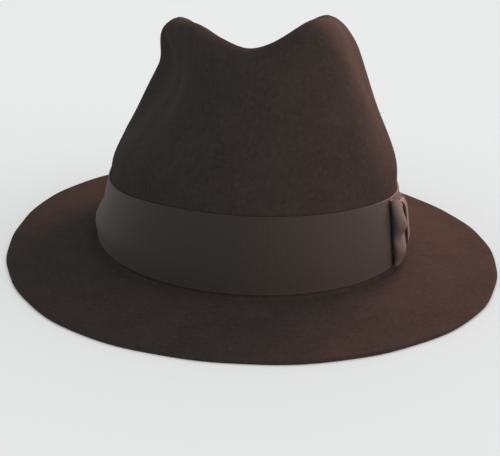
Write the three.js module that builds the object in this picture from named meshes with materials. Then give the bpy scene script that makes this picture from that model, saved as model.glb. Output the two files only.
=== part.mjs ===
import * as THREE from 'three';

// A soft felt hat: creased crown, level-edged brim, ribbon band and a flat ribbon bow.
// Millimetres, +Z up. The front of the hat faces -Y and the bow is on the wearer's left, +X.
// The hat stands on the underside of its rim, on z = 0, centred over the origin.

// Head opening, measured inside the crown where it meets the brim
const HEAD_HALF_WIDTH = 84;
const HEAD_HALF_LENGTH = 100;
const FELT = 2;

// Brim, measured outwards from the foot of the crown
const BRIM_LEFT = 51;
const BRIM_RIGHT = 49.5;
const BRIM_FRONT = 54;
const BRIM_BACK = 59;
const CORNER_FRONT_LEFT = 1.3;
const CORNER_FRONT_RIGHT = 3.6;
const CORNER_BACK_LEFT = -8;
const CORNER_BACK_RIGHT = 1.4;
const RIM_LEVEL = 10;
const EDGE_ROUND = 0.6;

// Fold between crown and brim: height of the brim's top there, and its round
const FOLD_FRONT = 6.5;
const FOLD_SIDE = 4.6;
const FOLD_BACK = 3;
const FOLD_RADIUS = 2.5;

// Crown. The foot swells at a share of the band's height, and the crest is lifted at the front
// of the wearer's left lobe, about an angle from the front.
const CROWN_HEIGHT = 128.5;
const LEAN_LEFT = 5.8;
const LEAN_RIGHT = 6.8;
const LEAN_END = 2.4;
const FOOT_SWELL = 2.6;
const FOOT_SWELL_UP = 0.25;
const TOP_SHIFT = 2;
const TOP_TILT = 1.2;
const LOBE_LIFT = 10;
const LOBE_LIFT_ANGLE = 26;
const LOBE_LIFT_REACH = 46;
const CREASE_HALF_LENGTH = 48;
const CREASE_HALF_WIDTH = 5;
const PINCH_DEPTH = 15;

// Band and bow ribbon
const RIBBON = 0.9;
const RIBBON_GAP = 0.3;
const BAND_HEIGHT = 38;
const BAND_DIP = 6;
const BOW_ANGLE = 68;
const FRONT_LOOP = 27;
const FRONT_PUFF = 4.6;
const FRONT_HEIGHT = 35;
const REAR_LOOP = 21;
const REAR_PUFF = 1.2;
const REAR_HEIGHT = 20;
const ROOT_HEIGHT = 18;
const ROOT_GAP = 1.5;
const LAYER_STEP = 1.25;
const KNOT_WIDTH = 9;
const KNOT_TUCK = 3.2;
const KNOT_GAP = 0.7;

// Crown wall from the band's top edge to the crest. rise is a share of that height, and side,
// front and back are shares of the half width and half length there.
const CROWN_WALL = [
  { rise: 0.00, side: 1.000, front: 1.000, back: 1.000 },
  { rise: 0.15, side: 0.986, front: 0.985, back: 0.985 },
  { rise: 0.32, side: 0.926, front: 0.960, back: 0.960 },
  { rise: 0.50, side: 0.850, front: 0.925, back: 0.930 },
  { rise: 0.67, side: 0.774, front: 0.885, back: 0.895 },
  { rise: 0.82, side: 0.700, front: 0.840, back: 0.855 },
  { rise: 0.93, side: 0.636, front: 0.790, back: 0.810 },
  { rise: 0.98, side: 0.575, front: 0.745, back: 0.765 },
  { rise: 1.00, side: 0.515, front: 0.700, back: 0.715 },
];

// Height of the crest and of the crease floor, every 20 degrees from the front centre round
// to the back centre, as shares of the crown's height.
const CREST = [
  { crest: 0.924, floor: 0.826 },
  { crest: 0.934, floor: 0.818 },
  { crest: 0.963, floor: 0.800 },
  { crest: 0.993, floor: 0.780 },
  { crest: 0.990, floor: 0.764 },
  { crest: 0.974, floor: 0.754 },
  { crest: 0.930, floor: 0.746 },
  { crest: 0.860, floor: 0.740 },
  { crest: 0.790, floor: 0.735 },
  { crest: 0.760, floor: 0.733 },
];

// Pinches in the crown wall, and swellings where the depth is less than nothing: the lobe
// behind the pinches, and a fuller crest on the wearer's right. side is 1 on the bow's side
// and -1 on the other. at and reach are shares of the half length, with minus towards the
// front, up and spread of the wall's rise, and depth of the pinch depth.
const PINCHES = [
  { side: -1, at: -0.36, reach: 0.42, up: 0.62, spread: 0.56, depth: 0.98 },
  { side: -1, at: 0.04, reach: 0.40, up: 0.60, spread: 0.56, depth: 1.05 },
  { side: -1, at: 0.45, reach: 0.38, up: 0.92, spread: 0.26, depth: -0.35 },
  { side: -1, at: 0.00, reach: 1.00, up: 1.00, spread: 0.34, depth: -0.42 },
  { side: 1, at: -0.34, reach: 0.52, up: 0.74, spread: 0.62, depth: 0.45 },
  { side: 1, at: 0.00, reach: 1.00, up: 1.00, spread: 0.20, depth: 0.20 },
];

// One loop of the bow, seen from above: from the knot along the band, round the end fold
// and back over itself. run is a share of the loop's length, out of its puff, and over of
// the step from the lower layer to the upper one.
const LOOP_PATH = [
  { run: 0.00, out: 0.00, over: 0.0 },
  { run: 0.35, out: 0.00, over: 0.0 },
  { run: 0.70, out: 0.01, over: 0.0 },
  { run: 0.93, out: 0.06, over: 0.1 },
  { run: 1.00, out: 0.40, over: 0.5 },
  { run: 0.94, out: 0.80, over: 0.9 },
  { run: 0.72, out: 1.00, over: 1.0 },
  { run: 0.46, out: 0.60, over: 1.0 },
  { run: 0.20, out: 0.03, over: 1.0 },
  { run: 0.00, out: 0.00, over: 1.0 },
];

// Two soft pleats across a loop's outer layer. up is a share of its height.
const LOOP_PLEATS = [
  { up: 0.00, out: 0.15 },
  { up: 0.20, out: 0.66 },
  { up: 0.40, out: 0.28 },
  { up: 0.62, out: 1.00 },
  { up: 0.82, out: 0.58 },
  { up: 1.00, out: 0.10 },
];

// The knot over its height: up is a share of the knot's height from its middle, and out of
// its rise over the roots of the loops.
const KNOT_PATH = [
  { up: 0.50, out: 0.00 },
  { up: 0.46, out: 0.62 },
  { up: 0.34, out: 0.96 },
  { up: 0.00, out: 1.00 },
  { up: -0.34, out: 0.96 },
  { up: -0.46, out: 0.62 },
  { up: -0.50, out: 0.00 },
];

// Fineness of the faceted surfaces
const AROUND = 72;
const BRIM_STEPS = 4;
const FOLD_STEPS = 2;
const BAND_STEPS = 4;
const WALL_STEPS = 12;
const TOP_STEPS = 6;
const LOOP_STEPS = 18;
const LOOP_COLUMNS = 6;
const KNOT_STEPS = 10;
const KNOT_COLUMNS = 3;

// Sizes that follow from the ones above
const FOOT_HALF_WIDTH = HEAD_HALF_WIDTH + FELT;
const FOOT_HALF_LENGTH = HEAD_HALF_LENGTH + FELT;
const CENTRE_X = (BRIM_RIGHT - BRIM_LEFT) / 2;
const CENTRE_Y = (BRIM_FRONT - BRIM_BACK) / 2;
const BAND_OUT = RIBBON_GAP + RIBBON;
const BOW_OUT = BAND_OUT + RIBBON_GAP + RIBBON / 2;
const KNOT_HEIGHT = ROOT_HEIGHT + 2 * KNOT_TUCK;
const KNOT_OUT = LAYER_STEP + RIBBON + KNOT_GAP;

// A smooth curve through one column of a table, at a share from its first row to its last.
// mirrored makes the curve level at both ends, as it is on a line of symmetry.
function along(rows, column, share, mirrored = false) {
  const place = THREE.MathUtils.clamp(share, 0, 1) * (rows.length - 1);
  const i = Math.min(Math.floor(place), rows.length - 2);
  const f = place - i;
  const from = rows[i][column];
  const to = rows[i + 1][column];
  const before = i > 0 ? rows[i - 1][column] : (mirrored ? to : 2 * from - to);
  const last = i + 2 > rows.length - 1;
  const after = last ? (mirrored ? from : 2 * to - from) : rows[i + 2][column];
  const slopeFrom = (to - before) / 2;
  const slopeTo = (after - from) / 2;
  const cubic = 2 * (from - to) + slopeFrom + slopeTo;
  const square = 3 * (to - from) - 2 * slopeFrom - slopeTo;
  return ((cubic * f + square) * f + slopeFrom) * f + from;
}

// A value that is one number at the front, one at both sides and one at the back.
function roundTheHead(front, side, back, turn) {
  const ends = Math.cos(turn);
  return side + ((ends > 0 ? front : back) - side) * ends * ends;
}

// A point of an oval about the crown's axis, moved straight out from it. turn is 0 at the
// front and a quarter turn at +X.
function oval(halfWidth, halfLength, turn, z, out = 0) {
  const square = new THREE.Vector2(halfLength * Math.sin(turn), -halfWidth * Math.cos(turn));
  square.setLength(out);
  const x = CENTRE_X + halfWidth * Math.sin(turn) + square.x;
  const y = CENTRE_Y - halfLength * Math.cos(turn) + square.y;
  return new THREE.Vector3(x, y, z);
}

function sideLean(turn) {
  return Math.sin(turn) > 0 ? LEAN_LEFT : LEAN_RIGHT;
}

function foldHeight(turn) {
  return roundTheHead(FOLD_FRONT, FOLD_SIDE, FOLD_BACK, turn);
}

// How far round from the front to the back a turn is, from 0 to 1, the same on both sides.
function towardsBack(turn) {
  return Math.acos(Math.cos(turn)) / Math.PI;
}

// The crest's height: the table's, tilted from side to side, and lifted on one lobe.
function crestHeight(turn) {
  const fromLift = turn - THREE.MathUtils.degToRad(LOBE_LIFT_ANGLE);
  const away = Math.atan2(Math.sin(fromLift), Math.cos(fromLift));
  const lift = LOBE_LIFT * bump(away, THREE.MathUtils.degToRad(LOBE_LIFT_REACH));
  const tilt = TOP_TILT * Math.sin(turn);
  return CROWN_HEIGHT * along(CREST, 'crest', towardsBack(turn), true) + tilt + lift;
}

function floorHeight(turn) {
  return CROWN_HEIGHT * along(CREST, 'floor', towardsBack(turn), true);
}

// The brim's width, fuller or narrower at each of its four corners.
function brimWidth(turn) {
  const onLeft = Math.sin(turn) > 0;
  const side = onLeft ? BRIM_LEFT : BRIM_RIGHT;
  const front = onLeft ? CORNER_FRONT_LEFT : CORNER_FRONT_RIGHT;
  const back = onLeft ? CORNER_BACK_LEFT : CORNER_BACK_RIGHT;
  const corner = (Math.cos(turn) > 0 ? front : back) * Math.sin(2 * turn) ** 2;
  return roundTheHead(BRIM_FRONT, side, BRIM_BACK, turn) + corner;
}

// The brim's top, at a distance out from the foot of the crown: level at the rim, and from
// there it climbs to the fold in a soft S.
function brimPoint(turn, share) {
  const out = THREE.MathUtils.lerp(brimWidth(turn) - RIM_LEVEL, FOLD_RADIUS, share);
  const climb = (1 - Math.cos(Math.PI * share)) / 2;
  const z = FELT + (foldHeight(turn) - FELT) * climb;
  return oval(FOOT_HALF_WIDTH, FOOT_HALF_LENGTH, turn, z, out);
}

// A level ring of the rim, inset from the cut edge.
function rimPoint(turn, inset, z) {
  return oval(FOOT_HALF_WIDTH, FOOT_HALF_LENGTH, turn, z, brimWidth(turn) - inset);
}

// The round between brim and crown, a quarter circle.
function foldPoint(turn, share) {
  const angle = share * Math.PI / 2;
  const out = FOLD_RADIUS * (1 - Math.sin(angle));
  const z = foldHeight(turn) + FOLD_RADIUS * (1 - Math.cos(angle));
  return oval(FOOT_HALF_WIDTH, FOOT_HALF_LENGTH, turn, z, out);
}

// A cosine bump: 1 at its middle and 0 at its reach and beyond.
function bump(distance, reach) {
  return (1 + Math.cos(Math.PI * Math.min(Math.abs(distance) / reach, 1))) / 2;
}

// The band's height, which is less at the sides.
function bandHeight(turn) {
  return BAND_HEIGHT - BAND_DIP * Math.sin(turn) ** 4;
}

// The foot of the crown behind the band. It leans in, and swells out low down on the wearer's
// right. share goes from the band's lower edge to its upper one, and out is off the felt.
function footPoint(turn, share, out) {
  const z = foldHeight(turn) + FOLD_RADIUS + bandHeight(turn) * share;
  const sideways = Math.max(-Math.sin(turn), 0) ** 4;
  const swell = FOOT_SWELL * sideways * bump(share - FOOT_SWELL_UP, FOOT_SWELL_UP);
  const halfWidth = FOOT_HALF_WIDTH - sideLean(turn) * share + swell;
  const halfLength = FOOT_HALF_LENGTH - LEAN_END * share;
  return oval(halfWidth, halfLength, turn, z, out);
}

// How far the pinches push a point of the wall sideways. They fade towards the front and
// back centre lines.
function pinchAt(turn, y, rise) {
  const lengthwise = (y - CENTRE_Y) / FOOT_HALF_LENGTH;
  let push = 0;
  for (const pinch of PINCHES) {
    const sideways = Math.max(Math.sin(turn) * pinch.side, 0);
    const near = bump(lengthwise - pinch.at, pinch.reach) * bump(rise - pinch.up, pinch.spread);
    push -= pinch.side * pinch.depth * sideways * near;
  }
  return PINCH_DEPTH * push;
}

// The crown wall from the band's top edge to the crest.
function wallPoint(turn, share) {
  const bandTop = foldHeight(turn) + FOLD_RADIUS + bandHeight(turn);
  const rise = along(CROWN_WALL, 'rise', share);
  const z = THREE.MathUtils.lerp(bandTop, crestHeight(turn), rise);
  const end = Math.cos(turn) > 0 ? 'front' : 'back';
  const halfWidth = (FOOT_HALF_WIDTH - sideLean(turn)) * along(CROWN_WALL, 'side', share);
  const halfLength = (FOOT_HALF_LENGTH - LEAN_END) * along(CROWN_WALL, end, share);
  const point = oval(halfWidth, halfLength, turn, z);
  point.x += pinchAt(turn, point.y, rise) + TOP_SHIFT * share;
  return point;
}

// The top from the crest down into the centre crease, a cosine slope to a narrow floor.
function topPoint(turn, share) {
  const crest = wallPoint(turn, 1);
  const floorX = CENTRE_X + TOP_SHIFT + CREASE_HALF_WIDTH * Math.sin(turn);
  const floorY = CENTRE_Y - CREASE_HALF_LENGTH * Math.cos(turn);
  const fall = (1 - Math.cos(Math.PI * share)) / 2;
  return new THREE.Vector3(
    THREE.MathUtils.lerp(crest.x, floorX, share),
    THREE.MathUtils.lerp(crest.y, floorY, share),
    THREE.MathUtils.lerp(crest.z, floorHeight(turn), fall),
  );
}

// The turns of one ring, half a step off the centre lines, so that each point has its mirror.
function ring(pointAt) {
  const points = [];
  for (let k = 0; k < AROUND; k++) {
    points.push(pointAt((k + 0.5) * 2 * Math.PI / AROUND));
  }
  return points;
}

// Directions that stand off a grid of points, across its rows and columns.
function standOff(rows, wrap) {
  const count = rows[0].length;
  return rows.map((row, r) => row.map((point, k) => {
    const next = row[wrap ? (k + 1) % count : Math.min(k + 1, count - 1)];
    const previous = row[wrap ? (k + count - 1) % count : Math.max(k - 1, 0)];
    const above = rows[Math.min(r + 1, rows.length - 1)][k];
    const below = rows[Math.max(r - 1, 0)][k];
    const across = next.clone().sub(previous);
    const up = above.clone().sub(below);
    return across.cross(up).normalize();
  }));
}

// One closed surface through rings with equal numbers of points. The first and last ring are
// closed straight across, or joined to each other where the rings go round.
function skin(rings, goesRound) {
  const count = rings[0].length;
  const position = [];
  for (const point of rings.flat()) {
    position.push(point.x, point.y, point.z);
  }
  const index = [];
  const bands = goesRound ? rings.length : rings.length - 1;
  for (let r = 0; r < bands; r++) {
    const here = r * count;
    const there = ((r + 1) % rings.length) * count;
    for (let k = 0; k < count; k++) {
      const next = (k + 1) % count;
      index.push(here + k, here + next, there + next);
      index.push(here + k, there + next, there + k);
    }
  }
  if (!goesRound) {
    const last = (rings.length - 1) * count;
    for (let k = 0; k < count / 2 - 1; k++) {
      const mirror = count - 1 - k;
      index.push(k, mirror, mirror - 1);
      index.push(k, mirror - 1, k + 1);
      index.push(last + k, last + k + 1, last + mirror - 1);
      index.push(last + k, last + mirror - 1, last + mirror);
    }
  }
  const geometry = new THREE.BufferGeometry();
  geometry.setAttribute('position', new THREE.Float32BufferAttribute(position, 3));
  geometry.setIndex(index);
  geometry.computeVertexNormals();
  return geometry;
}

// Crown and brim in one wall: the outer face from the rim to the crease, and the inner face
// one felt thickness behind it.
function feltGeometry() {
  const outer = [];
  outer.push(ring((turn) => rimPoint(turn, EDGE_ROUND, FELT)));
  for (let i = 0; i < BRIM_STEPS; i++) {
    outer.push(ring((turn) => brimPoint(turn, i / BRIM_STEPS)));
  }
  for (let i = 0; i < FOLD_STEPS; i++) {
    outer.push(ring((turn) => foldPoint(turn, i / FOLD_STEPS)));
  }
  for (let i = 0; i < BAND_STEPS; i++) {
    outer.push(ring((turn) => footPoint(turn, i / BAND_STEPS, 0)));
  }
  for (let i = 0; i < WALL_STEPS; i++) {
    outer.push(ring((turn) => wallPoint(turn, i / WALL_STEPS)));
  }
  for (let i = 0; i <= TOP_STEPS; i++) {
    outer.push(ring((turn) => topPoint(turn, i / TOP_STEPS)));
  }
  const off = standOff(outer, true);
  const inner = outer.map((row, r) => row.map((point, k) => {
    const level = r < 2;
    const step = level ? new THREE.Vector3(0, 0, -FELT) : off[r][k].multiplyScalar(-FELT);
    return point.clone().add(step);
  }));
  const edge = [
    ring((turn) => rimPoint(turn, 0, EDGE_ROUND)),
    ring((turn) => rimPoint(turn, 0, FELT - EDGE_ROUND)),
  ];
  return skin([...inner.reverse(), ...edge, ...outer], false);
}

function bandGeometry() {
  const rows = [];
  for (let i = 0; i <= BAND_STEPS; i++) {
    rows.push(ring((turn) => footPoint(turn, i / BAND_STEPS, BAND_OUT)));
  }
  for (let i = BAND_STEPS; i >= 0; i--) {
    rows.push(ring((turn) => footPoint(turn, i / BAND_STEPS, RIBBON_GAP)));
  }
  return skin(rows, true);
}

// A point beside the band at the bow: run is the distance round from the bow's middle,
// positive towards the front, and up the height above the band's middle.
function bowPoint(run, up, out) {
  const middle = THREE.MathUtils.degToRad(BOW_ANGLE);
  const acrossX = FOOT_HALF_WIDTH * Math.cos(middle);
  const acrossY = FOOT_HALF_LENGTH * Math.sin(middle);
  const turn = middle - run / Math.hypot(acrossX, acrossY);
  return footPoint(turn, 0.5 + up / bandHeight(turn), BOW_OUT + out);
}

// A ribbon from a grid of its middle surface: each row goes across the ribbon.
function ribbonGeometry(rows) {
  const off = standOff(rows, false);
  const rings = rows.map((row, r) => {
    const outside = row.map((point, k) => point.clone().addScaledVector(off[r][k], RIBBON / 2));
    const inside = row.map((point, k) => point.clone().addScaledVector(off[r][k], -RIBBON / 2));
    return [...outside, ...inside.reverse()];
  });
  return skin(rings, false);
}

// One loop of the bow. way is 1 for the loop towards the front and -1 for the other.
function loopGeometry(way, length, puff, endHeight) {
  const rows = [];
  for (let i = 0; i <= LOOP_STEPS; i++) {
    const share = i / LOOP_STEPS;
    const reach = along(LOOP_PATH, 'run', share);
    const swell = puff * Math.max(along(LOOP_PATH, 'out', share), 0);
    const over = LAYER_STEP * THREE.MathUtils.clamp(along(LOOP_PATH, 'over', share), 0, 1);
    const spread = Math.sin(Math.min(reach, 1) * Math.PI / 2);
    const height = THREE.MathUtils.lerp(ROOT_HEIGHT, endHeight, spread);
    const run = way * (ROOT_GAP + (length - ROOT_GAP) * reach);
    const row = [];
    for (let j = 0; j <= LOOP_COLUMNS; j++) {
      const across = way > 0 ? j / LOOP_COLUMNS : 1 - j / LOOP_COLUMNS;
      const up = height * (across - 0.5);
      row.push(bowPoint(run, up, over + swell * along(LOOP_PLEATS, 'out', across)));
    }
    rows.push(row);
  }
  return ribbonGeometry(rows);
}

function knotGeometry() {
  const rows = [];
  for (let i = 0; i <= KNOT_STEPS; i++) {
    const share = i / KNOT_STEPS;
    const up = KNOT_HEIGHT * along(KNOT_PATH, 'up', share);
    const out = KNOT_OUT * Math.max(along(KNOT_PATH, 'out', share), 0);
    const row = [];
    for (let j = 0; j <= KNOT_COLUMNS; j++) {
      row.push(bowPoint(KNOT_WIDTH * (j / KNOT_COLUMNS - 0.5), up, out));
    }
    rows.push(row);
  }
  return ribbonGeometry(rows);
}

// Materials: brushed felt in dark brown, and ribbed ribbon a little greyer
function feltMaterial() {
  return new THREE.MeshStandardMaterial({ color: 0x33291f, roughness: 0.95, metalness: 0 });
}

function ribbonMaterial() {
  return new THREE.MeshStandardMaterial({ color: 0x3c362c, roughness: 0.7, metalness: 0 });
}

function piece(name, geometry, material) {
  const mesh = new THREE.Mesh(geometry, material);
  mesh.name = name;
  return mesh;
}

const hat = new THREE.Group();
hat.add(piece('felt_body', feltGeometry(), feltMaterial()));
hat.add(piece('hat_band', bandGeometry(), ribbonMaterial()));
hat.add(piece('bow_front_loop', loopGeometry(1, FRONT_LOOP, FRONT_PUFF, FRONT_HEIGHT), ribbonMaterial()));
hat.add(piece('bow_rear_loop', loopGeometry(-1, REAR_LOOP, REAR_PUFF, REAR_HEIGHT), ribbonMaterial()));
hat.add(piece('bow_knot', knotGeometry(), ribbonMaterial()));

export default hat;
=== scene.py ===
"""A soft felt hat with a creased, pinched crown, a ribbon band and a flat side bow.

Lengths are metres and +Z is up. The front of the hat faces -Y and the bow is on +X. Every
surface is worked out with numpy as a function of two parameters: the turn round the head,
which is 0 at the front and a quarter turn at +X, and a share along a section.
"""

import math

import bpy
import numpy as np
from bpy.props import FloatProperty, FloatVectorProperty, PointerProperty
from mathutils import Matrix, Vector


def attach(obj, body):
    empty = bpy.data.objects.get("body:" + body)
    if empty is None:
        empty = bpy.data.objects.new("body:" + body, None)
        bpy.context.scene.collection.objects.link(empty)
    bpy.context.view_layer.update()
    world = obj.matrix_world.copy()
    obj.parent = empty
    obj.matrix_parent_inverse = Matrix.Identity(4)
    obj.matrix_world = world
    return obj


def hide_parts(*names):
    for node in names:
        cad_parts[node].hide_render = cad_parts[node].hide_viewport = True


bl_info = {
    "name": "Felt Hat",
    "version": (1, 0, 0),
    "blender": (4, 5, 0),
    "location": "3D View > Sidebar > Hat",
    "description": "Builds a creased felt hat with a ribbon band and a bow round its solids",
    "category": "Add Mesh",
}

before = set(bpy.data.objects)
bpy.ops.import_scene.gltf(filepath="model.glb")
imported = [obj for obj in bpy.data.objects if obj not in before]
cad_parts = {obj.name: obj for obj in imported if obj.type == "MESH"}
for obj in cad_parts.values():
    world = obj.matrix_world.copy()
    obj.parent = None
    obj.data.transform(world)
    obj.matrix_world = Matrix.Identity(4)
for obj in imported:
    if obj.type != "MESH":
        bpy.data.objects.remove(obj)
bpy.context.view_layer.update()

BODY = "root"


def table(columns, rows):
    """Named columns of numbers from listed rows."""
    return dict(zip(columns.split(), np.array(rows, float).T))


# Crown wall from the band's top edge to the crest, as shares of that height, and of the
# half width and half length there
CROWN_WALL = table("rise side front back", [
    (0.00, 1.000, 1.000, 1.000),
    (0.15, 0.986, 0.985, 0.985),
    (0.32, 0.926, 0.960, 0.960),
    (0.50, 0.850, 0.925, 0.930),
    (0.67, 0.774, 0.885, 0.895),
    (0.82, 0.700, 0.840, 0.855),
    (0.93, 0.636, 0.790, 0.810),
    (0.98, 0.575, 0.745, 0.765),
    (1.00, 0.515, 0.700, 0.715),
])

# Height of the crest and of the crease floor as shares of the crown's height, at even steps
# from the front centre round to the back centre
CREST = table("crest floor", [
    (0.924, 0.826),
    (0.934, 0.818),
    (0.963, 0.800),
    (0.993, 0.780),
    (0.990, 0.764),
    (0.974, 0.754),
    (0.930, 0.746),
    (0.860, 0.740),
    (0.790, 0.735),
    (0.760, 0.733),
])

# Pinches in the crown wall, and swellings where the depth is less than nothing. side is 1 on
# the bow's side and -1 on the other. at and reach are shares of the half length, with minus
# towards the front, up and spread of the wall's rise, and depth of the pinch depth.
PINCHES = (
    {"side": -1, "at": -0.36, "reach": 0.42, "up": 0.62, "spread": 0.56, "depth": 0.98},
    {"side": -1, "at": 0.04, "reach": 0.40, "up": 0.60, "spread": 0.56, "depth": 1.05},
    {"side": -1, "at": 0.45, "reach": 0.38, "up": 0.92, "spread": 0.26, "depth": -0.35},
    {"side": -1, "at": 0.00, "reach": 1.00, "up": 1.00, "spread": 0.34, "depth": -0.42},
    {"side": 1, "at": -0.34, "reach": 0.52, "up": 0.74, "spread": 0.62, "depth": 0.45},
    {"side": 1, "at": 0.00, "reach": 1.00, "up": 1.00, "spread": 0.20, "depth": 0.20},
)

# One loop of the bow seen from above, from the knot round the end fold and back. run is a
# share of the loop's length, out of its puff, and over of the step between its two layers.
LOOP_PATH = table("run out over", [
    (0.00, 0.00, 0.0),
    (0.35, 0.00, 0.0),
    (0.70, 0.01, 0.0),
    (0.93, 0.06, 0.1),
    (1.00, 0.40, 0.5),
    (0.94, 0.80, 0.9),
    (0.72, 1.00, 1.0),
    (0.46, 0.60, 1.0),
    (0.20, 0.03, 1.0),
    (0.00, 0.00, 1.0),
])

# Two soft pleats across a loop: how far it stands out at even steps from its lower edge to its
# upper one, as shares of its puff
LOOP_PLEATS = np.array([0.15, 0.66, 0.28, 1.00, 0.58, 0.10])

# The knot from its top to its foot. up is a share of its height, from its middle, and out of
# its rise over the roots of the loops.
KNOT_PATH = table("up out", [
    (0.50, 0.00),
    (0.46, 0.62),
    (0.34, 0.96),
    (0.00, 1.00),
    (-0.34, 0.96),
    (-0.46, 0.62),
    (-0.50, 0.00),
])

# Slow waves round the cut edge of the brim
CUT_WAVES = table("share count phase", [
    (1.0, 9, 1.2),
    (0.7, 23, 0.5),
])

# Slow waves in the felt, each the product of two sines over the place: radians a metre along
# X, Y and Z, and a phase
FELT_WAVES = (
    {"share": 1.00, "first": (61, 23, 0, 1.3), "second": (-31, 0, 47, 0.4)},
    {"share": 0.70, "first": (0, 97, -41, 2.1), "second": (83, 0, 19, 0.0)},
    {"share": 0.45, "first": (171, 0, 60, 0.7), "second": (0, 149, 90, 1.9)},
)

# Height of the waves in the felt in metres, and the share of it that the brim gets
WAVE_HEIGHT = 0.00034
WAVES_ON_BRIM = 0.35

# How far the band's middle stands proud of its edges, in metres
BAND_SWELL = 0.00015

# The ribbon's weave: metres from rib to rib, and the width and lightening of its woven edge
RIB_PITCH = 0.0009
WOVEN_EDGE = 0.0010
WOVEN_EDGE_TONE = 0.3

# Fineness of the surfaces. The wall's first steps stay true above the band, and the felt's
# waves come in over the fade steps.
AROUND = 320
RIM_STEPS = 5
BRIM_STEPS = 22
FOLD_STEPS = 6
FOOT_STEPS = 14
WALL_STEPS = 52
TRUE_STEPS = 2
FADE_STEPS = 8
TOP_STEPS = 34
EDGE_STEPS = 6
BAND_STEPS = 20
LOOP_STEPS = 90
LOOP_COLUMNS = 30
KNOT_STEPS = 48
KNOT_COLUMNS = 14


def length(name, default, description):
    """A size in metres that a user can change."""
    return FloatProperty(name=name, description=description, default=default,
                         unit="LENGTH", precision=4)


def colour(name, default, description):
    """A surface colour that a user can change."""
    return FloatVectorProperty(name=name, description=description, default=default,
                               min=0.0, max=1.0, size=3, subtype="COLOR")


class HatSizes(bpy.types.PropertyGroup):
    """Sizes of the hat, the same as those of its solids."""

    head_half_width: length("Head half width", 0.084, "Inside of the crown, side to side")
    head_half_length: length("Head half length", 0.100, "Inside of the crown, front to back")
    felt: length("Felt", 0.002, "Thickness of the felt")
    brim_left: length("Brim left", 0.051, "Brim at the wearer's left")
    brim_right: length("Brim right", 0.0495, "Brim at the wearer's right")
    brim_front: length("Brim front", 0.054, "Brim at the front")
    brim_back: length("Brim back", 0.059, "Brim at the back")
    corner_front_left: length("Front left corner", 0.0013, "Extra brim between front and left")
    corner_front_right: length("Front right corner", 0.0036, "Extra brim between front and right")
    corner_back_left: length("Back left corner", -0.008, "Extra brim between back and left")
    corner_back_right: length("Back right corner", 0.0014, "Extra brim between back and right")
    cut_wave: length("Cut wave", 0.00025, "Unevenness of the cut edge of the brim")
    rim_level: length("Level rim", 0.010, "Width of the rim that lies level")
    fold_front: length("Fold front", 0.0065, "Height of the brim at the crown, in front")
    fold_side: length("Fold side", 0.0046, "Height of the brim at the crown, at the sides")
    fold_back: length("Fold back", 0.003, "Height of the brim at the crown, behind")
    fold_radius: length("Fold round", 0.0025, "Round between brim and crown")
    crown_height: length("Crown height", 0.1285, "Height of the crown's lobes")
    lean_left: length("Lean left", 0.0058, "How far the band leans in on the left")
    lean_right: length("Lean right", 0.0068, "How far the band leans in on the right")
    lean_end: length("Lean ends", 0.0024, "How far the band leans in front and back")
    foot_swell: length("Foot swell", 0.0026, "Swelling of the crown's foot on the right")
    foot_swell_up: FloatProperty(name="Foot swell height", default=0.25, min=0.05, max=0.5,
                                 description="Where the foot swells, as a share of the band")
    top_shift: length("Top shift", 0.002, "Shift of the crown's top to the wearer's left")
    top_tilt: length("Top tilt", 0.0012, "Rise of the left lobe over the right one")
    lobe_lift: length("Lobe lift", 0.010, "Lift of the crest at the front of the left lobe")
    lobe_lift_angle: FloatProperty(name="Lobe lift angle", default=math.radians(26),
                                   subtype="ANGLE", description="Middle of the lift")
    lobe_lift_reach: FloatProperty(name="Lobe lift reach", default=math.radians(46),
                                   subtype="ANGLE", description="Reach of the lift each way")
    crease_half_length: length("Crease half length", 0.048, "Half of the centre crease")
    crease_half_width: length("Crease half width", 0.005, "Half of the crease's floor")
    pinch_depth: length("Pinch depth", 0.015, "Depth of the deepest side pinch")


class RibbonSizes(bpy.types.PropertyGroup):
    """Sizes of the band and the bow."""

    thick: length("Ribbon", 0.0009, "Thickness of the ribbon")
    gap: length("Gap", 0.0003, "Gap between felt and ribbon")
    band_height: length("Band height", 0.038, "Width of the band's ribbon")
    band_dip: length("Band dip", 0.006, "How much lower the band is at the sides")
    front_loop: length("Front loop", 0.027, "Length of the bow's front loop")
    front_puff: length("Front puff", 0.0046, "How far the front loop stands off")
    front_height: length("Front height", 0.035, "Height of the front loop's end")
    rear_loop: length("Rear loop", 0.021, "Length of the bow's rear loop")
    rear_puff: length("Rear puff", 0.0012, "How far the rear loop stands off")
    rear_height: length("Rear height", 0.020, "Height of the rear loop's end")
    root_height: length("Root height", 0.018, "Height of the gathered loops at the knot")
    root_gap: length("Root gap", 0.0015, "From the knot's middle to a loop's root")
    layer_step: length("Layer step", 0.00125, "Step from a loop's lower to its upper layer")
    knot_width: length("Knot width", 0.009, "Width of the knot")
    knot_tuck: length("Knot tuck", 0.0032, "How far the knot reaches past the roots")
    knot_gap: length("Knot gap", 0.0007, "Play between the knot and the roots")
    bow_angle: FloatProperty(name="Bow angle", description="Place of the bow, from the front",
                             default=math.radians(68), subtype="ANGLE")


class HatColours(bpy.types.PropertyGroup):
    """Colours of the felt and the ribbon. The darker colours between the ribs are painted shade
    in the rib valleys, and the bow's colours are a lighter copy of the band's, which is painted
    light.
    """

    felt: colour("Felt", (0.0205, 0.0168, 0.0150), "Main colour of the felt")
    felt_light: colour("Felt nap", (0.0370, 0.0303, 0.0270), "Lighter fibres of the nap")
    band: colour("Band", (0.0235, 0.0178, 0.0140), "Crest of the band's ribs")
    # The band's valley colour is painted shade between the ribs.
    band_valley_shade: colour("Band valleys", (0.0158, 0.0119, 0.0094), "Between the band's ribs")
    # The bow's colours are the band's ribbon painted lighter, as painted light where the bow
    # catches the lamp; its valley colour is painted shade.
    bow: colour("Bow", (0.0515, 0.0408, 0.0326), "Crest of the bow's ribs")
    bow_valley_shade: colour("Bow valleys", (0.0350, 0.0278, 0.0222), "Between the bow's ribs")


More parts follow.
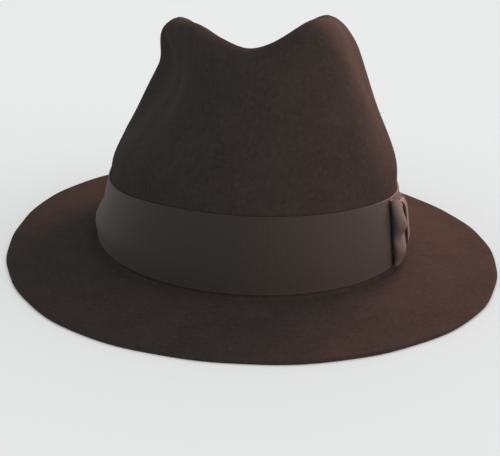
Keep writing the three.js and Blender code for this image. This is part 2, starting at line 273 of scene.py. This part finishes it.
def along(column, share, mirrored=False):
    """A cubic through a table's column: the slope at each row is half the step between its
    neighbours. mirrored makes the ends level, as on a line of symmetry."""
    last = len(column) - 1
    first_beyond = column[1] if mirrored else 2 * column[0] - column[1]
    last_beyond = column[-2] if mirrored else 2 * column[-1] - column[-2]
    padded = np.concatenate([[first_beyond], column, [last_beyond]])
    place = np.clip(share, 0.0, 1.0) * last
    i = np.minimum(place.astype(int), last - 1)
    f = place - i
    before, low, high, after = (padded[i + k] for k in range(4))
    slope_low = (high - before) / 2
    slope_high = (after - low) / 2
    cubic = 2 * (low - high) + slope_low + slope_high
    square = 3 * (high - low) - 2 * slope_low - slope_high
    return ((cubic * f + square) * f + slope_low) * f + low


def bump(distance, reach):
    """A cosine bump: 1 at its middle, 0 at its reach and beyond."""
    return (1 + np.cos(np.pi * np.minimum(np.abs(distance) / reach, 1))) / 2


def round_the_head(front, side, back, turn):
    """One value at the front, one at the sides and one at the back, blended by the square of
    the turn's cosine."""
    ends = np.cos(turn)
    return side + (np.where(ends > 0, front, back) - side) * ends ** 2


def towards_back(turn):
    """How far round from the front to the back a turn is, from 0 to 1."""
    return np.arccos(np.clip(np.cos(turn), -1, 1)) / np.pi


def mix(low, high, share):
    """A straight blend between two values."""
    return low + (high - low) * share


def points(x, y, z):
    """One array of points from three arrays or numbers that broadcast together."""
    return np.stack(np.broadcast_arrays(x, y, z), axis=-1)


def stand_off(grid, wrap):
    """Unit directions off a grid of points: the cross product of the steps to the
    neighbours along its columns and along its rows."""
    if wrap:
        across = np.roll(grid, -1, axis=1) - np.roll(grid, 1, axis=1)
    else:
        across = np.gradient(grid, axis=1)
    off = np.cross(across, np.gradient(grid, axis=0))
    return off / np.linalg.norm(off, axis=-1, keepdims=True)


class HatShape:
    """The surfaces of the felt and the places beside it, from the sizes."""

    def __init__(self, hat, ribbon):
        self.hat = hat
        self.ribbon = ribbon
        self.half_width = hat.head_half_width + hat.felt
        self.half_length = hat.head_half_length + hat.felt
        self.centre_x = (hat.brim_right - hat.brim_left) / 2
        self.centre_y = (hat.brim_front - hat.brim_back) / 2

    def oval(self, half_width, half_length, turn, z, out=0.0):
        """A point of an oval about the crown's axis, moved straight out from it."""
        sine, cosine = np.sin(turn), np.cos(turn)
        reach = np.hypot(half_length * sine, half_width * cosine)
        x = self.centre_x + half_width * sine + out * half_length * sine / reach
        y = self.centre_y - half_length * cosine - out * half_width * cosine / reach
        return points(x, y, z)

    def side_lean(self, turn):
        """How far the band leans in on the side that a turn is on."""
        return np.where(np.sin(turn) > 0, self.hat.lean_left, self.hat.lean_right)

    def fold_height(self, turn):
        """Height of the brim where it meets the crown."""
        hat = self.hat
        return round_the_head(hat.fold_front, hat.fold_side, hat.fold_back, turn)

    def brim_width(self, turn):
        """The brim's width, fuller or narrower at each of its four corners, with the slow
        waves of an edge that is cut by hand."""
        hat = self.hat
        on_left = np.sin(turn) > 0
        side = np.where(on_left, hat.brim_left, hat.brim_right)
        front = np.where(on_left, hat.corner_front_left, hat.corner_front_right)
        back = np.where(on_left, hat.corner_back_left, hat.corner_back_right)
        corner = np.where(np.cos(turn) > 0, front, back) * np.sin(2 * turn) ** 2
        cut = sum(share * np.sin(count * turn + phase)
                  for share, count, phase in zip(*CUT_WAVES.values()))
        width = round_the_head(hat.brim_front, side, hat.brim_back, turn)
        return width + corner + hat.cut_wave * cut

    def rim(self, turn, inset, z):
        """A level ring of the rim, inset from the cut edge."""
        return self.oval(self.half_width, self.half_length, turn, z,
                         self.brim_width(turn) - inset)

    def brim(self, turn, share):
        """The brim's top from the level rim to the fold, a cosine climb."""
        hat = self.hat
        out = mix(self.brim_width(turn) - hat.rim_level, hat.fold_radius, share)
        climb = (1 - np.cos(np.pi * share)) / 2
        z = hat.felt + (self.fold_height(turn) - hat.felt) * climb
        return self.oval(self.half_width, self.half_length, turn, z, out)

    def fold(self, turn, share):
        """The round between brim and crown, a quarter circle."""
        angle = share * np.pi / 2
        out = self.hat.fold_radius * (1 - np.sin(angle))
        z = self.fold_height(turn) + self.hat.fold_radius * (1 - np.cos(angle))
        return self.oval(self.half_width, self.half_length, turn, z, out)

    def band_height(self, turn):
        """The band's height, which is less at the sides."""
        return self.ribbon.band_height - self.ribbon.band_dip * np.sin(turn) ** 4

    def foot(self, turn, share, out=0.0):
        """The foot of the crown behind the band. It leans in, and swells out low down on the
        wearer's right. share goes from the band's lower edge to its upper one."""
        z = self.fold_height(turn) + self.hat.fold_radius + self.band_height(turn) * share
        sideways = np.maximum(-np.sin(turn), 0) ** 4
        up = self.hat.foot_swell_up
        swell = self.hat.foot_swell * sideways * bump(share - up, up)
        return self.oval(self.half_width - self.side_lean(turn) * share + swell,
                         self.half_length - self.hat.lean_end * share, turn, z, out)

    def crest_height(self, turn):
        """The table's height, tilted from side to side, with a cosine lift on one lobe."""
        hat = self.hat
        from_lift = turn - hat.lobe_lift_angle
        away = np.arctan2(np.sin(from_lift), np.cos(from_lift))
        lift = hat.lobe_lift * bump(away, hat.lobe_lift_reach)
        share = along(CREST["crest"], towards_back(turn), True)
        return hat.crown_height * share + hat.top_tilt * np.sin(turn) + lift

    def floor_height(self, turn):
        """Height of the crease floor."""
        return self.hat.crown_height * along(CREST["floor"], towards_back(turn), True)

    def pinch(self, turn, y, rise):
        """How far the pinches push the wall sideways: cosine bumps along the side and up
        the wall, which fade towards the front and back centre lines."""
        lengthwise = (y - self.centre_y) / self.half_length
        push = 0.0
        for one in PINCHES:
            sideways = np.maximum(np.sin(turn) * one["side"], 0)
            near = bump(lengthwise - one["at"], one["reach"])
            near = near * bump(rise - one["up"], one["spread"])
            push = push - one["side"] * one["depth"] * sideways * near
        return self.hat.pinch_depth * push

    def wall(self, turn, share):
        """The crown wall from the band's top edge to the crest."""
        hat = self.hat
        band_top = self.fold_height(turn) + hat.fold_radius + self.band_height(turn)
        rise = along(CROWN_WALL["rise"], share)
        z = mix(band_top, self.crest_height(turn), rise)
        half_width = (self.half_width - self.side_lean(turn)) * along(CROWN_WALL["side"], share)
        ends = np.where(np.cos(turn) > 0, along(CROWN_WALL["front"], share),
                        along(CROWN_WALL["back"], share))
        grid = self.oval(half_width, (self.half_length - hat.lean_end) * ends, turn, z)
        grid[..., 0] += self.pinch(turn, grid[..., 1], rise) + hat.top_shift * share
        return grid

    def top(self, turn, share):
        """The top from the crest down into the centre crease, a cosine slope."""
        hat = self.hat
        crest = self.wall(turn, np.ones_like(turn))
        fall = (1 - np.cos(np.pi * share)) / 2
        floor_x = self.centre_x + hat.top_shift + hat.crease_half_width * np.sin(turn)
        floor_y = self.centre_y - hat.crease_half_length * np.cos(turn)
        return points(mix(crest[..., 0], floor_x, share), mix(crest[..., 1], floor_y, share),
                      mix(crest[..., 2], self.floor_height(turn), fall))

    def bow(self, run, up, out):
        """A point beside the band at the bow: run is the way round from the bow's middle,
        positive towards the front, up the height above the band's middle, and out the way
        off the ribbon layer that lies on the band."""
        ribbon = self.ribbon
        middle = ribbon.bow_angle
        pace = math.hypot(self.half_width * math.cos(middle), self.half_length * math.sin(middle))
        turn = middle - run / pace
        band_face = ribbon.gap + ribbon.thick
        first_layer = band_face + ribbon.gap + ribbon.thick / 2
        return self.foot(turn, 0.5 + up / self.band_height(turn), first_layer + out)


def ring_turns():
    """Turns of one ring, half a step off the centre lines, as one row."""
    return (np.arange(AROUND) + 0.5)[None, :] * 2 * np.pi / AROUND


def shares(steps, closed=False):
    """Even shares from 0 to 1 as one column, with the last one only if closed."""
    return (np.arange(steps + closed) / steps)[:, None]


def skin(name, rings, goes_round=False, uv=None, sharp=60):
    """One closed mesh through rings with equal numbers of points. The first and last ring
    are closed straight across, or joined to each other where the rings go round. uv holds
    one more column than the rings, and one more row where they go round. Edges look sharp
    from the angle sharp on, in degrees."""
    rows, count = rings.shape[:2]
    bands = rows if goes_round else rows - 1
    r, k = np.meshgrid(np.arange(bands), np.arange(count), indexing="ij")
    above = (r + 1) % rows
    beside = (k + 1) % count
    quads = np.stack([r * count + k, r * count + beside, above * count + beside,
                      above * count + k], axis=-1).reshape(-1, 4)
    spots = np.stack([r * (count + 1) + k, r * (count + 1) + k + 1,
                      (r + 1) * (count + 1) + k + 1, (r + 1) * (count + 1) + k], axis=-1)
    spots = spots.reshape(-1, 4)
    if not goes_round:
        a = np.arange(count // 2 - 1)
        b = count - 1 - a
        near = np.stack([a, b, b - 1, a + 1], axis=-1)
        far = np.stack([a, a + 1, b - 1, b], axis=-1)
        quads = np.concatenate([quads, near, far + (rows - 1) * count])
        spots = np.concatenate([spots, near, far + (rows - 1) * (count + 1)])
    mesh = bpy.data.meshes.new(name)
    mesh.vertices.add(rows * count)
    mesh.vertices.foreach_set("co", rings.reshape(-1).astype(np.float32))
    mesh.loops.add(quads.size)
    mesh.loops.foreach_set("vertex_index", quads.reshape(-1).astype(np.int32))
    mesh.polygons.add(len(quads))
    mesh.polygons.foreach_set("loop_start", np.arange(0, quads.size, 4, dtype=np.int32))
    mesh.update(calc_edges=True)
    if uv is not None:
        layer = mesh.uv_layers.new(name="UVMap")
        layer.uv.foreach_set("vector", uv.reshape(-1, 2)[spots.reshape(-1)]
                             .reshape(-1).astype(np.float32))
    mesh.shade_smooth()
    mesh.set_sharp_from_angle(angle=math.radians(sharp))
    if mesh.validate():
        raise RuntimeError(f"{name} has faulty faces")
    piece = bpy.data.objects.new(name, mesh)
    bpy.context.scene.collection.objects.link(piece)
    return piece


def seat(piece, node, material):
    """Gives a piece its material, and lets it ride in place of its solid."""
    piece.data.materials.append(material)
    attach(piece, BODY)
    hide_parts(node)


def slow_sine(grid, row):
    """A sine over the places of a grid, from a row with three paces and a phase."""
    *paces, phase = row
    return np.sin(grid @ np.array(paces) + phase)


def hand_blocked(grid, off, strength):
    """Small unevenness of felt shaped by hand: a sum of slow sine waves over the surface,
    added along its directions. strength fades it where it has to stay true."""
    wave = sum(one["share"] * slow_sine(grid, one["first"]) * slow_sine(grid, one["second"])
               for one in FELT_WAVES)
    return grid + off * (WAVE_HEIGHT * wave * strength)[..., None]


def felt_grid(shape):
    """The outer face of the felt from the rim to the crease: one row of points a ring."""
    hat = shape.hat
    turn = ring_turns()
    inset = mix(hat.felt / 2, hat.rim_level, shares(RIM_STEPS))
    return np.concatenate([
        shape.rim(turn, inset, hat.felt),
        shape.brim(turn, shares(BRIM_STEPS)),
        shape.fold(turn, shares(FOLD_STEPS)),
        shape.foot(turn, shares(FOOT_STEPS)),
        shape.wall(turn, shares(WALL_STEPS)),
        shape.top(turn, shares(TOP_STEPS, closed=True)),
    ])


def felt_rings(shape):
    """Rings of the whole felt: the inner face from the crease down, the round cut edge and
    the outer face up again. The inner face lies one felt thickness behind the outer one."""
    hat = shape.hat
    outer = felt_grid(shape)
    off = stand_off(outer, True)
    order = np.arange(len(outer))
    level = RIM_STEPS + 1
    off[:level] = (0.0, 0.0, 1.0)
    wall_start = RIM_STEPS + BRIM_STEPS + FOLD_STEPS + FOOT_STEPS
    brim_part = np.clip((order - level) / BRIM_STEPS, 0, 1)
    brim_part = brim_part * (order < RIM_STEPS + BRIM_STEPS)
    crown_part = np.clip((order - wall_start - TRUE_STEPS) / FADE_STEPS, 0, 1)
    strength = (WAVES_ON_BRIM * np.sin(np.pi * brim_part) ** 2 + crown_part)[:, None]
    outer = hand_blocked(outer, off, strength)
    inner = outer - off * hat.felt
    turn = ring_turns()
    angle = (np.arange(1, EDGE_STEPS) / EDGE_STEPS)[:, None] * np.pi
    radius = hat.felt / 2
    edge = shape.rim(turn, radius * (1 - np.sin(angle)), radius * (1 - np.cos(angle)))
    return np.concatenate([inner[::-1], edge, outer])


def band_rings(shape):
    """Rings of the band: up its outer face, over the thin top edge and down its inner one.
    The outer face swells by a hair between its two edges."""
    ribbon = shape.ribbon
    turn = ring_turns()
    share = shares(BAND_STEPS, closed=True)
    swell = BAND_SWELL * np.sin(np.pi * share)
    outside = shape.foot(turn, share, ribbon.gap + ribbon.thick + swell)
    inside = shape.foot(turn, share, ribbon.gap)
    return np.concatenate([outside, inside[::-1]])


def ribbon_rings(middle, thick):
    """Rings round a ribbon from a grid of its middle surface, with half of its thickness on
    each side."""
    off = stand_off(middle, False) * thick / 2
    return np.concatenate([middle + off, (middle - off)[:, ::-1]], axis=1)


def ribbon_uv(middle):
    """Distances along and across a ribbon, in metres, for the rings of ribbon_rings."""
    along_path = np.linalg.norm(np.diff(middle, axis=0), axis=-1).mean(axis=1)
    u = np.concatenate([[0], np.cumsum(along_path)])
    across_path = np.linalg.norm(np.diff(middle, axis=1), axis=-1).mean(axis=0)
    v = np.concatenate([[0], np.cumsum(across_path)])
    v = np.concatenate([v, v[::-1], v[:1]])
    return np.stack(np.meshgrid(u, v, indexing="ij"), axis=-1)


def loop_grid(shape, way, reach_length, puff, end_height):
    """The middle surface of one loop of the bow: a path in plan, carried over its height,
    with two pleats that fade into the gathered root."""
    ribbon = shape.ribbon
    share = shares(LOOP_STEPS, closed=True)
    reach = along(LOOP_PATH["run"], share)
    swell = puff * np.maximum(along(LOOP_PATH["out"], share), 0)
    over = ribbon.layer_step * np.clip(along(LOOP_PATH["over"], share), 0, 1)
    spread = np.sin(np.minimum(reach, 1) * np.pi / 2)
    height = mix(ribbon.root_height, end_height, spread)
    run = way * (ribbon.root_gap + (reach_length - ribbon.root_gap) * reach)
    across = shares(LOOP_COLUMNS, closed=True).T
    if way < 0:
        across = across[:, ::-1]
    up = height * (across - 0.5)
    out = over + swell * along(LOOP_PLEATS, across)
    return shape.bow(run, up, out)


def knot_grid(shape):
    """The middle surface of the knot: a strip that comes off the band above the roots, goes
    over them and back to the band below."""
    ribbon = shape.ribbon
    share = shares(KNOT_STEPS, closed=True)
    height = ribbon.root_height + 2 * ribbon.knot_tuck
    rise = ribbon.layer_step + ribbon.thick + ribbon.knot_gap
    up = height * along(KNOT_PATH["up"], share)
    out = rise * np.maximum(along(KNOT_PATH["out"], share), 0)
    across = shares(KNOT_COLUMNS, closed=True).T - 0.5
    return shape.bow(ribbon.knot_width * across, up, out)


class Nodes:
    """A short way to write a material's node tree."""

    def __init__(self, name):
        self.material = bpy.data.materials.new(name)
        self.material.use_nodes = True
        self.tree = self.material.node_tree
        self.shader = self.tree.nodes["Principled BSDF"]

    def add(self, kind, **settings):
        """A new node, with settings by the names of its attributes or inputs."""
        node = self.tree.nodes.new(kind)
        for key, value in settings.items():
            if hasattr(node, key):
                setattr(node, key, value)
            else:
                node.inputs[key].default_value = value
        return node

    def join(self, source, target):
        """Links two sockets."""
        self.tree.links.new(source, target)

    def maths(self, kind, first, second=0.0):
        """A Math node of one kind, with sockets or numbers as its two inputs."""
        node = self.add("ShaderNodeMath", operation=kind)
        for socket, value in zip(node.inputs, (first, second)):
            if hasattr(value, "links"):
                self.join(value, socket)
            else:
                socket.default_value = value
        return node.outputs[0]

    def blend(self, first, second, share):
        """Two values in one, of which the second has a share."""
        return self.maths("ADD", self.maths("MULTIPLY", first, 1 - share),
                          self.maths("MULTIPLY", second, share))

    def noise(self, place, scale, detail, roughness):
        """Noise over the places in the piece, from 0 to 1."""
        node = self.add("ShaderNodeTexNoise", Scale=scale, Detail=detail, Roughness=roughness)
        self.join(place, node.inputs["Vector"])
        return node.outputs["Fac"]

    def tone(self, value, low, high, low_colour, high_colour):
        """The base colour, from one colour at a low value to another at a high one."""
        node = self.add("ShaderNodeValToRGB")
        first, last = node.color_ramp.elements
        first.position, last.position = low, high
        first.color = (*low_colour, 1)
        last.color = (*high_colour, 1)
        self.join(value, node.inputs["Fac"])
        self.join(node.outputs["Color"], self.shader.inputs["Base Color"])

    def relief(self, height, distance, strength):
        """A fine relief that only the light sees."""
        node = self.add("ShaderNodeBump", Strength=strength, Distance=distance)
        self.join(height, node.inputs["Height"])
        self.join(node.outputs["Normal"], self.shader.inputs["Normal"])

    def finish(self, inputs):
        """Sets the shader's inputs by their names."""
        for name, value in inputs.items():
            self.shader.inputs[name].default_value = value


def felt_material(colours):
    """Brushed felt: a dark ground with lighter fibres, slow mottling where the nap lies
    differently, and a dull sheen."""
    nodes = Nodes("brushed_felt")
    place = nodes.add("ShaderNodeTexCoord").outputs["Object"]
    fibres = nodes.noise(place, scale=1700, detail=3, roughness=0.65)
    nap = nodes.noise(place, scale=420, detail=3, roughness=0.6)
    mottle = nodes.noise(place, scale=60, detail=3, roughness=0.6)
    fine = nodes.blend(fibres, nap, share=0.5)
    value = nodes.blend(fine, mottle, share=0.24)
    nodes.tone(value, low=0.36, high=0.68,
               low_colour=colours.felt, high_colour=colours.felt_light)
    nodes.relief(fine, distance=0.0005, strength=0.5)
    nodes.finish({
        "Roughness": 0.95,
        "Specular IOR Level": 0.02,
        "Sheen Weight": 0.015,
        "Sheen Roughness": 0.6,
        "Sheen Tint": (0.75, 0.62, 0.55, 1),
    })
    return nodes.material


def ribbon_material(name, crest, valley_shade):
    """Ribbed ribbon: round ribs across its width, by a sine of the distance along it, with
    painted shade in the valleys between the ribs, a little unevenness, a lighter woven edge and a
    soft sheen."""
    nodes = Nodes(name)
    place = nodes.add("ShaderNodeTexCoord").outputs["Object"]
    spot = nodes.add("ShaderNodeUVMap", uv_map="UVMap").outputs["UV"]
    parts = nodes.add("ShaderNodeSeparateXYZ")
    nodes.join(spot, parts.inputs[0])
    rib_angle = nodes.maths("MULTIPLY", parts.outputs["X"], 2 * math.pi / RIB_PITCH)
    ribs = nodes.blend(nodes.maths("SINE", rib_angle), 1.0, share=0.5)
    thread = nodes.noise(place, scale=1500, detail=2, roughness=0.6)
    weave = nodes.blend(ribs, thread, share=0.4)
    woven_edge = nodes.maths("LESS_THAN", parts.outputs["Y"], WOVEN_EDGE)
    value = nodes.maths("ADD", weave, nodes.maths("MULTIPLY", woven_edge, WOVEN_EDGE_TONE))
    # The valleys between the ribs take the darker colour: painted shade in the rib valleys.
    nodes.tone(value, low=0.15, high=0.85, low_colour=valley_shade, high_colour=crest)
    nodes.relief(value, distance=0.00022, strength=0.4)
    nodes.finish({
        "Roughness": 0.7,
        "Specular IOR Level": 0.3,
        "Sheen Weight": 0.10,
        "Sheen Roughness": 0.45,
        "Sheen Tint": (0.9, 0.76, 0.66, 1),
    })
    return nodes.material


def shape_of(context):
    """The hat's surfaces from the scene's sizes."""
    return HatShape(context.scene.hat_sizes, context.scene.hat_ribbon)


class HAT_OT_felt(bpy.types.Operator):
    """Makes the crown and brim as one wall of felt"""

    bl_idname = "hat.felt"
    bl_label = "Felt Body"

    def execute(self, context):
        piece = skin("felt_crown_and_brim", felt_rings(shape_of(context)))
        seat(piece, "felt_body", felt_material(context.scene.hat_colours))
        return {"FINISHED"}


class HAT_OT_band(bpy.types.Operator):
    """Makes the ribbon band round the foot of the crown"""

    bl_idname = "hat.band"
    bl_label = "Ribbon Band"

    def execute(self, context):
        shape = shape_of(context)
        rings = band_rings(shape)
        girth = 2 * math.pi * math.sqrt((shape.half_width ** 2 + shape.half_length ** 2) / 2)
        u = np.linspace(0, girth, AROUND + 1)
        up = np.linspace(0, shape.ribbon.band_height, BAND_STEPS + 1)
        v = np.concatenate([up, up[::-1], up[:1]])
        uv = np.stack(np.meshgrid(v, u, indexing="ij")[::-1], axis=-1)
        piece = skin("ribbon_band", rings, goes_round=True, uv=uv, sharp=40)
        colours = context.scene.hat_colours
        material = ribbon_material("band_ribbon", colours.band, colours.band_valley_shade)
        seat(piece, "hat_band", material)
        return {"FINISHED"}


class HAT_OT_bow(bpy.types.Operator):
    """Makes the two loops of the bow and the knot between them"""

    bl_idname = "hat.bow"
    bl_label = "Side Bow"

    def execute(self, context):
        shape = shape_of(context)
        ribbon = shape.ribbon
        grids = {
            "bow_front_loop": loop_grid(shape, 1, ribbon.front_loop, ribbon.front_puff,
                                        ribbon.front_height),
            "bow_rear_loop": loop_grid(shape, -1, ribbon.rear_loop, ribbon.rear_puff,
                                       ribbon.rear_height),
            "bow_knot": knot_grid(shape),
        }
        colours = context.scene.hat_colours
        # A lighter copy of the band's ribbon: painted light on the bow.
        material = ribbon_material("bow_ribbon_painted_light", colours.bow, colours.bow_valley_shade)
        for node, grid in grids.items():
            piece = skin(f"ribbon_{node}", ribbon_rings(grid, ribbon.thick),
                         uv=ribbon_uv(grid), sharp=40)
            seat(piece, node, material)
        return {"FINISHED"}


def pale_floor():
    """A wide pale floor under the hat, lit by the sky alone."""
    mesh = bpy.data.meshes.new("floor")
    reach = 6.0
    mesh.from_pydata([(-reach, -reach, 0), (reach, -reach, 0), (reach, reach, 0),
                      (-reach, reach, 0)], [], [(0, 1, 2, 3)])
    floor = bpy.data.objects.new("floor", mesh)
    bpy.context.scene.collection.objects.link(floor)
    nodes = Nodes("pale_floor")
    nodes.finish({"Base Color": (0.90, 0.88, 0.85, 1), "Roughness": 0.75})
    mesh.materials.append(nodes.material)


def soft_lamp(name, place, aim, power, lit):
    """A warm square soft lamp that faces a point and lights one collection alone."""
    lamp = bpy.data.lights.new(name, "AREA")
    lamp.size = 0.24
    lamp.energy = power
    lamp.color = (1.0, 0.48, 0.37)
    holder = bpy.data.objects.new(name, lamp)
    holder.location = place
    holder.rotation_mode = "QUATERNION"
    holder.rotation_quaternion = (Vector(aim) - Vector(place)).to_track_quat("-Z", "Y")
    holder.visible_camera = False
    holder.light_linking.receiver_collection = lit
    bpy.context.scene.collection.objects.link(holder)


def studio_light(pieces):
    """A soft lamp behind the hat on its right and a weaker one low at its front right, as the
    camera sees it. They light the pieces, not the floor."""
    lit = bpy.data.collections.new("hat_pieces")
    for piece in pieces:
        lit.objects.link(piece)
    soft_lamp("side_lamp", place=(0.30, 0.32, 0.35), aim=(0.10, 0.01, 0.05), power=5.9, lit=lit)
    soft_lamp("front_lamp", place=(0.42, -0.28, 0.10), aim=(0.0, 0.0, 0.06), power=1.2, lit=lit)


def pale_sky():
    """A pale sky whose strength slopes: it is brighter low down, in front of the hat and on
    the camera's right."""
    world = bpy.data.worlds.new("pale_sky")
    world.use_nodes = True
    tree = world.node_tree
    sky = tree.nodes["Background"]
    sky.inputs["Color"].default_value = (0.93, 0.96, 0.99, 1)
    direction = tree.nodes.new("ShaderNodeTexCoord")
    slope = tree.nodes.new("ShaderNodeVectorMath")
    slope.operation = "DOT_PRODUCT"
    slope.inputs[1].default_value = (0.3, -0.25, -0.25)
    tree.links.new(direction.outputs["Generated"], slope.inputs[0])
    strength = tree.nodes.new("ShaderNodeMath")
    strength.operation = "ADD"
    strength.inputs[1].default_value = 1.15
    tree.links.new(slope.outputs["Value"], strength.inputs[0])
    tree.links.new(strength.outputs[0], sky.inputs["Strength"])
    bpy.context.scene.world = world


def photo_camera():
    """The camera at the photograph's angle: turned round the hat, raised, rolled a little
    and aimed near the hat's foot."""
    azimuth, elevation, roll = (math.radians(a) for a in (-5.0, 19.52, 1.83))
    distance = 0.5314
    aim = Vector((-0.00094, -0.0025, 0.0061))
    back = Vector((math.sin(azimuth) * math.cos(elevation),
                   -math.cos(azimuth) * math.cos(elevation), math.sin(elevation)))
    level_right = (-back).cross(Vector((0, 0, 1))).normalized()
    level_up = back.cross(level_right)
    right = level_right * math.cos(roll) + level_up * math.sin(roll)
    up = level_up * math.cos(roll) - level_right * math.sin(roll)
    data = bpy.data.cameras.new("camera")
    data.sensor_width = 36
    data.lens = 65.95
    camera = bpy.data.objects.new("camera", data)
    turned = Matrix((right, up, back)).transposed()
    camera.matrix_world = Matrix.Translation(aim + back * distance) @ turned.to_4x4()
    bpy.context.scene.collection.objects.link(camera)
    bpy.context.scene.camera = camera


class HAT_OT_stage(bpy.types.Operator):
    """Sets a pale floor, soft light and the camera"""

    bl_idname = "hat.stage"
    bl_label = "Stage"

    def execute(self, context):
        pieces = [piece for piece in context.scene.objects if piece.type == "MESH"]
        pale_floor()
        studio_light(pieces)
        pale_sky()
        photo_camera()
        context.scene.view_settings.view_transform = "Standard"
        return {"FINISHED"}


class HAT_PT_panel(bpy.types.Panel):
    """Lists the hat's pieces, sizes and colours"""

    bl_label = "Felt Hat"
    bl_idname = "HAT_PT_panel"
    bl_space_type = "VIEW_3D"
    bl_region_type = "UI"
    bl_category = "Hat"

    def draw(self, context):
        for operator in OPERATORS:
            self.layout.operator(operator.bl_idname)
        for group in GROUPS:
            box = self.layout.box()
            holder = getattr(context.scene, group)
            for name in holder.__annotations__:
                box.prop(holder, name)


GROUPS = {"hat_sizes": HatSizes, "hat_ribbon": RibbonSizes, "hat_colours": HatColours}
OPERATORS = (HAT_OT_felt, HAT_OT_band, HAT_OT_bow, HAT_OT_stage)


def register():
    for one in (*GROUPS.values(), *OPERATORS, HAT_PT_panel):
        bpy.utils.register_class(one)
    for name, group in GROUPS.items():
        setattr(bpy.types.Scene, name, PointerProperty(type=group))


def unregister():
    for name in GROUPS:
        delattr(bpy.types.Scene, name)
    for one in reversed((*GROUPS.values(), *OPERATORS, HAT_PT_panel)):
        bpy.utils.unregister_class(one)


def main():
    register()
    bpy.ops.hat.felt()
    bpy.ops.hat.band()
    bpy.ops.hat.bow()
    bpy.ops.hat.stage()


if __name__ == "__main__":
    main()
